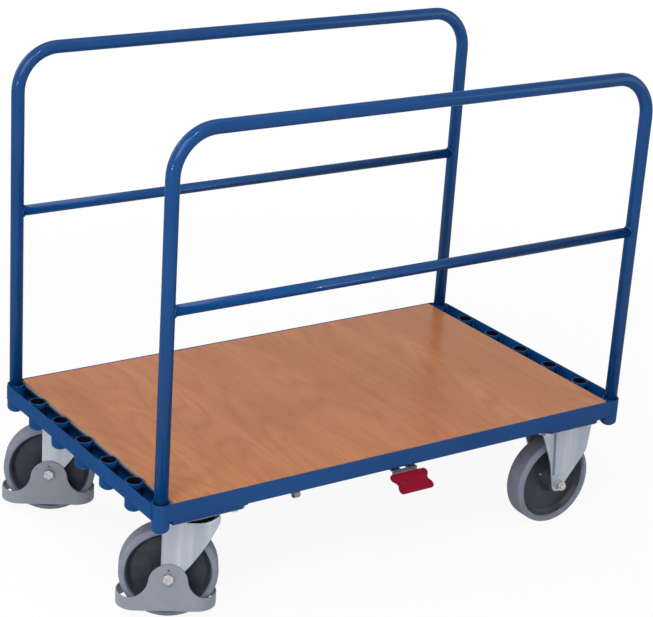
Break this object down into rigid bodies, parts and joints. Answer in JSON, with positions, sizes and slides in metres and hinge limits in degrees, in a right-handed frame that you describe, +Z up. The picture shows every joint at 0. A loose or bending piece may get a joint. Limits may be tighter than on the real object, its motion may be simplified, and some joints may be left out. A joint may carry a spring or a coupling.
{
  "type": "hanger trolley",
  "caption": "Platform trolley: timber deck in a blue steel frame, lift-out tube hoops along both sides, rows of spare sockets at the ends, swivel and fixed castors, and a foot pedal.",
  "frame": {"origin": "on the floor under the middle of the whole outline, the pedal and turned castors included", "axes": "+X along the deck towards the fixed castors, +Y across it away from the pedal side, +Z up"},
  "size_m": [1.0772, 0.6718, 0.942],
  "materials": {
    "blue_paint": "satin",
    "deck_wood": "satin",
    "zinc_steel": "satin",
    "dark_steel": "satin",
    "grey_tyre": "matte",
    "dark_hub": "matte",
    "grey_guard": "matte",
    "bearing_cage": "matte",
    "red_tread": "satin"
  },
  "bodies": {
    "chassis": {"side_rail_front": "blue_paint", "side_rail_back": "blue_paint", "end_channel_left": "blue_paint", "end_channel_right": "blue_paint", "cross_channels": "blue_paint", "end_bar_left": "blue_paint", "end_bar_right": "blue_paint", "corner_sockets": "blue_paint", "hoop_sockets_left": "blue_paint", "hoop_sockets_right": "blue_paint", "castor_mounting_plates": "blue_paint", "deck_board": "deck_wood", "castor_bolts": "zinc_steel", "castor_nuts": "zinc_steel", "pedal_bracket": "dark_steel", "pedal_pivot_pin": "zinc_steel", "brake_cable_clip": "dark_steel", "swivel_plates": "zinc_steel", "swivel_king_pins": "zinc_steel", "swivel_ball_rings": "zinc_steel", "fixed_bracket_front": "zinc_steel", "fixed_bracket_back": "zinc_steel", "fixed_axle_bolts": "zinc_steel", "fixed_axle_nuts": "zinc_steel", "fixed_axle_sleeves": "zinc_steel"},
    "brake_pedal": {"pedal_lever": "dark_steel", "pedal_tread": "red_tread"},
    "hoop_front": {"hoop_front_tube": "blue_paint", "hoop_front_mid_rail": "blue_paint"},
    "fixed_wheel_front": {"fixed_hub_front": "dark_hub", "fixed_tyre_front": "grey_tyre", "fixed_bearing_front": "bearing_cage"},
    "swivel_front": {"swivel_fork_front": "zinc_steel", "foot_guard_front": "grey_guard", "swivel_axle_bolt_front": "zinc_steel", "swivel_axle_nut_front": "zinc_steel", "swivel_axle_sleeve_front": "zinc_steel"},
    "swivel_wheel_front": {"swivel_hub_front": "dark_hub", "swivel_tyre_front": "grey_tyre", "swivel_bearing_front": "bearing_cage"},
    "hoop_back": {"hoop_back_tube": "blue_paint", "hoop_back_mid_rail": "blue_paint"},
    "fixed_wheel_back": {"fixed_hub_back": "dark_hub", "fixed_tyre_back": "grey_tyre", "fixed_bearing_back": "bearing_cage"},
    "swivel_back": {"swivel_fork_back": "zinc_steel", "foot_guard_back": "grey_guard", "swivel_axle_bolt_back": "zinc_steel", "swivel_axle_nut_back": "zinc_steel", "swivel_axle_sleeve_back": "zinc_steel"},
    "swivel_wheel_back": {"swivel_hub_back": "dark_hub", "swivel_tyre_back": "grey_tyre", "swivel_bearing_back": "bearing_cage"}
  },
  "joints": [
    {"name": "hoop_front_lift", "type": "slide", "parent": "chassis", "child": "hoop_front", "axis": [0, 0, 1], "range_m": [0, 0.12]},
    {"name": "fixed_wheel_front_spin", "type": "hinge", "parent": "chassis", "child": "fixed_wheel_front", "pos_m": [0.4176, -0.22731, 0.09], "axis": [0, 1, 0], "continuous": true},
    {"name": "swivel_front_turn", "type": "hinge", "parent": "chassis", "child": "swivel_front", "pos_m": [-0.4124, -0.22731, 0.224], "axis": [0, 0, 1], "continuous": true},
    {"name": "swivel_wheel_front_spin", "type": "hinge", "parent": "swivel_front", "child": "swivel_wheel_front", "pos_m": [-0.45137, -0.20481, 0.09], "axis": [0.5, 0.866, 0], "continuous": true},
    {"name": "hoop_back_lift", "type": "slide", "parent": "chassis", "child": "hoop_back", "axis": [0, 0, 1], "range_m": [0, 0.12]},
    {"name": "fixed_wheel_back_spin", "type": "hinge", "parent": "chassis", "child": "fixed_wheel_back", "pos_m": [0.4176, 0.24669, 0.09], "axis": [0, 1, 0], "continuous": true},
    {"name": "swivel_back_turn", "type": "hinge", "parent": "chassis", "child": "swivel_back", "pos_m": [-0.4124, 0.24669, 0.224], "axis": [0, 0, 1], "continuous": true},
    {"name": "swivel_wheel_back_spin", "type": "hinge", "parent": "swivel_back", "child": "swivel_wheel_back", "pos_m": [-0.45137, 0.26919, 0.09], "axis": [0.5, 0.866, 0], "continuous": true},
    {"name": "brake_pedal_press", "type": "hinge", "parent": "chassis", "child": "brake_pedal", "pos_m": [0.0026, -0.23031, 0.212], "axis": [1, 0, 0], "range_deg": [0, 15], "stiffness_Nm_per_rad": 6, "springref_deg": -5.73}
  ]
}
